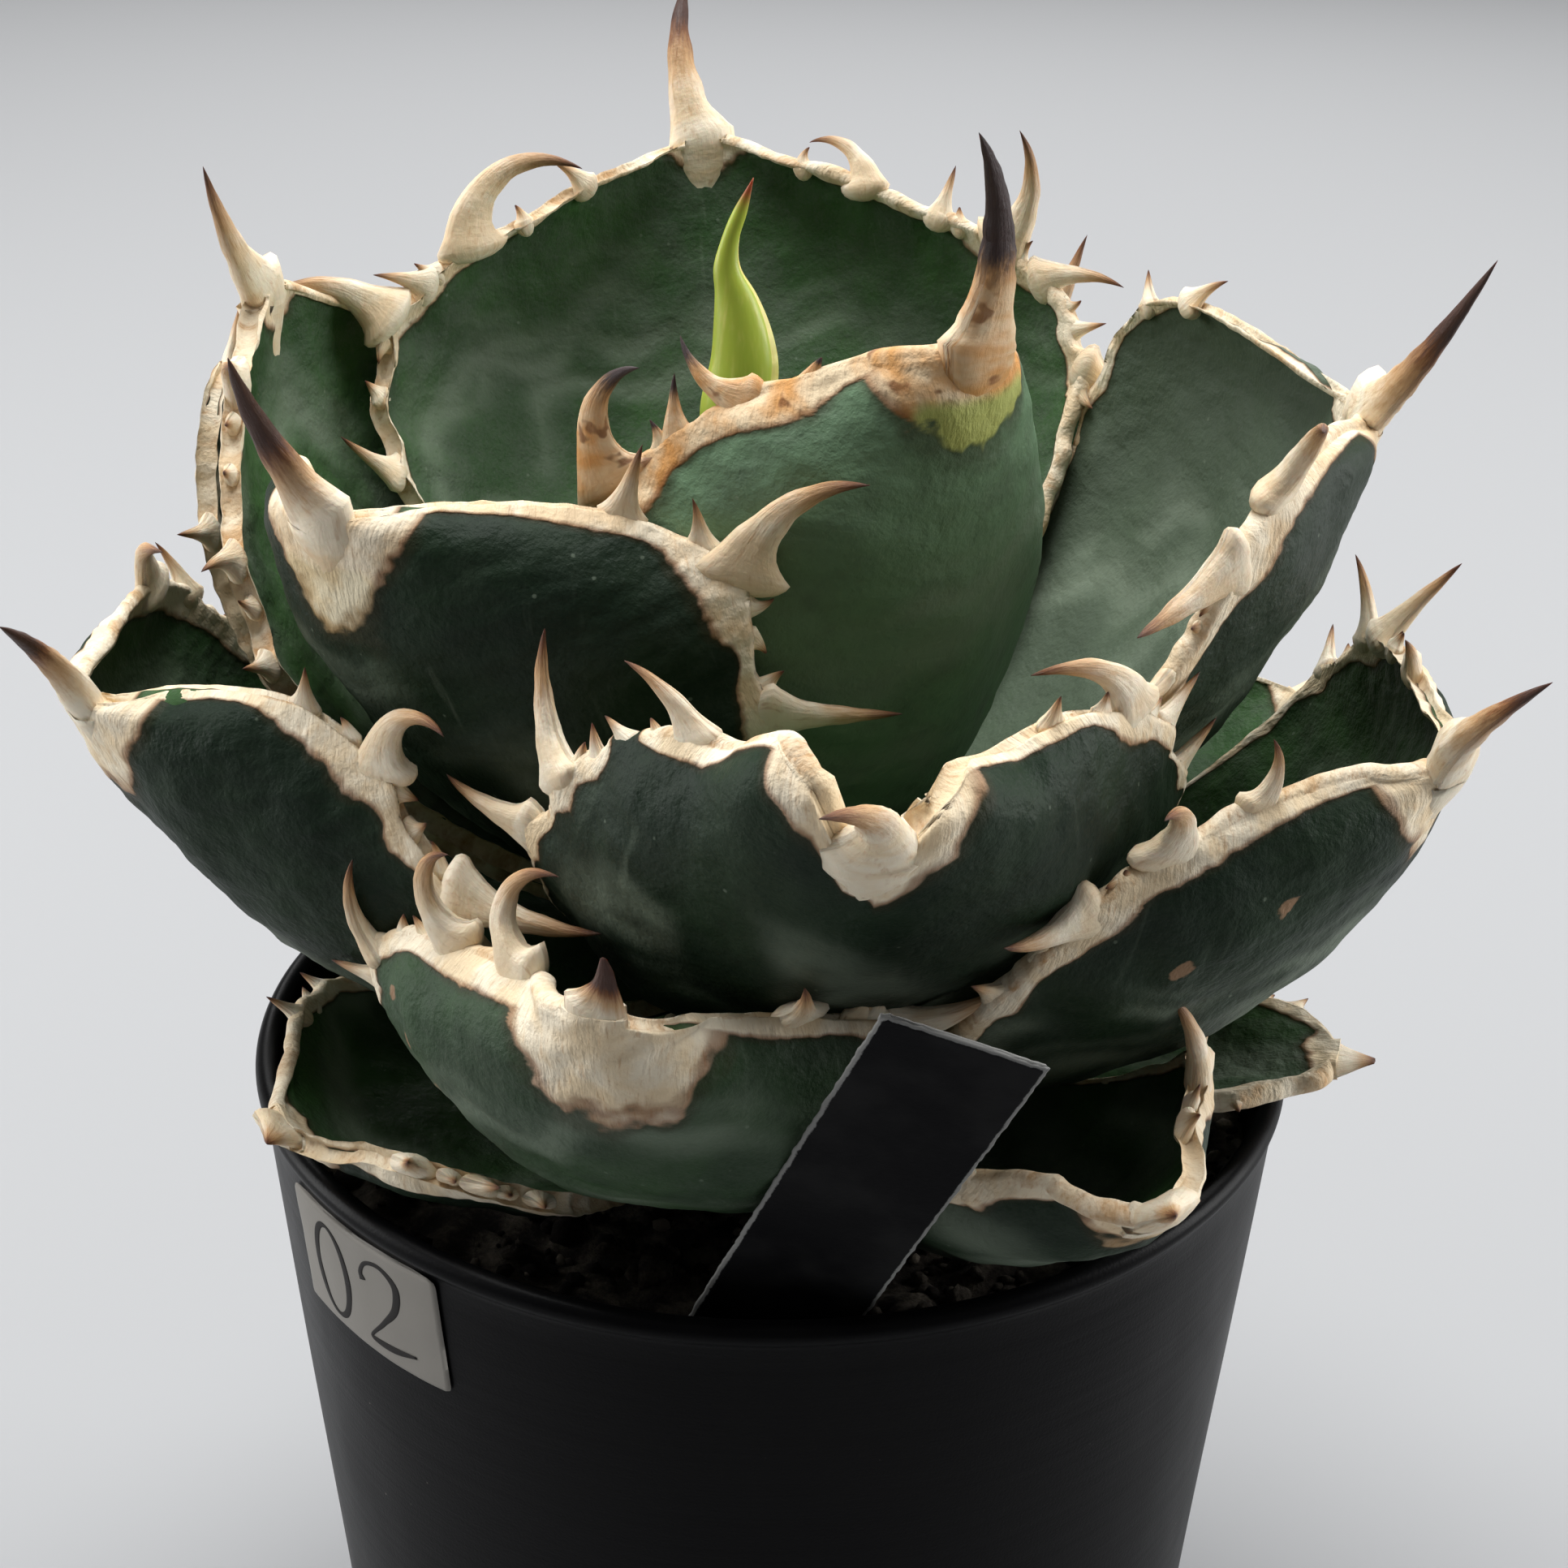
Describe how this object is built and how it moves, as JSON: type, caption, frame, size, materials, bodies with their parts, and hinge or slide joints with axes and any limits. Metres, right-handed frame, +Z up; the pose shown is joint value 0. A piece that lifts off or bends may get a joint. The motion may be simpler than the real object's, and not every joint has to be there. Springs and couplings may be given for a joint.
{
  "type": "potted agave",
  "caption": "Compact rosette of thick cupped leaves with horny toothed margins and terminal spines, growing in a round tapered pot with a plant tag and a number label.",
  "frame": {"origin": "centre of the pot's foot on the ground, which is also the bottom centre of the bounding box", "axes": "+Z up along the pot's axis, -Y towards the front with the plant tag, +X to the right seen from the front"},
  "size_m": [0.1907, 0.2347, 0.2825],
  "materials": {
    "pot_plastic": "matt black injection-moulded plastic, lightly scuffed",
    "pumice": "loose pale grit",
    "potting_mix": "dark granular mix",
    "stem": "pale corky stem",
    "bud": "smooth yellow-green young leaf",
    "leaf": "matt waxy blue-green with pale bloom",
    "horn": "cream horny margin, teeth and spines with brown tips",
    "label_film": "satin silver-grey label tape",
    "label_print": "flat dark printing",
    "tag_plastic": "satin black plastic with pale cut edges"
  },
  "bodies": {
    "root": {"pot": "pot_plastic", "pumice_layer": "pumice", "potting_mix": "potting_mix", "stem": "stem", "bud_spear": "bud", "leaf_01": "leaf", "leaf_02": "leaf", "leaf_03": "leaf", "leaf_04": "leaf", "leaf_05": "leaf", "leaf_06": "leaf", "leaf_07": "leaf", "leaf_08": "leaf", "leaf_09": "leaf", "leaf_10": "leaf", "leaf_11": "leaf", "leaf_12": "leaf", "leaf_13": "leaf", "leaf_14": "leaf", "leaf_15": "leaf", "leaf_16": "leaf", "leaf_17": "leaf", "leaf_18": "leaf", "number_label": "label_film", "plant_tag": "tag_plastic"}
  },
  "joints": []
}
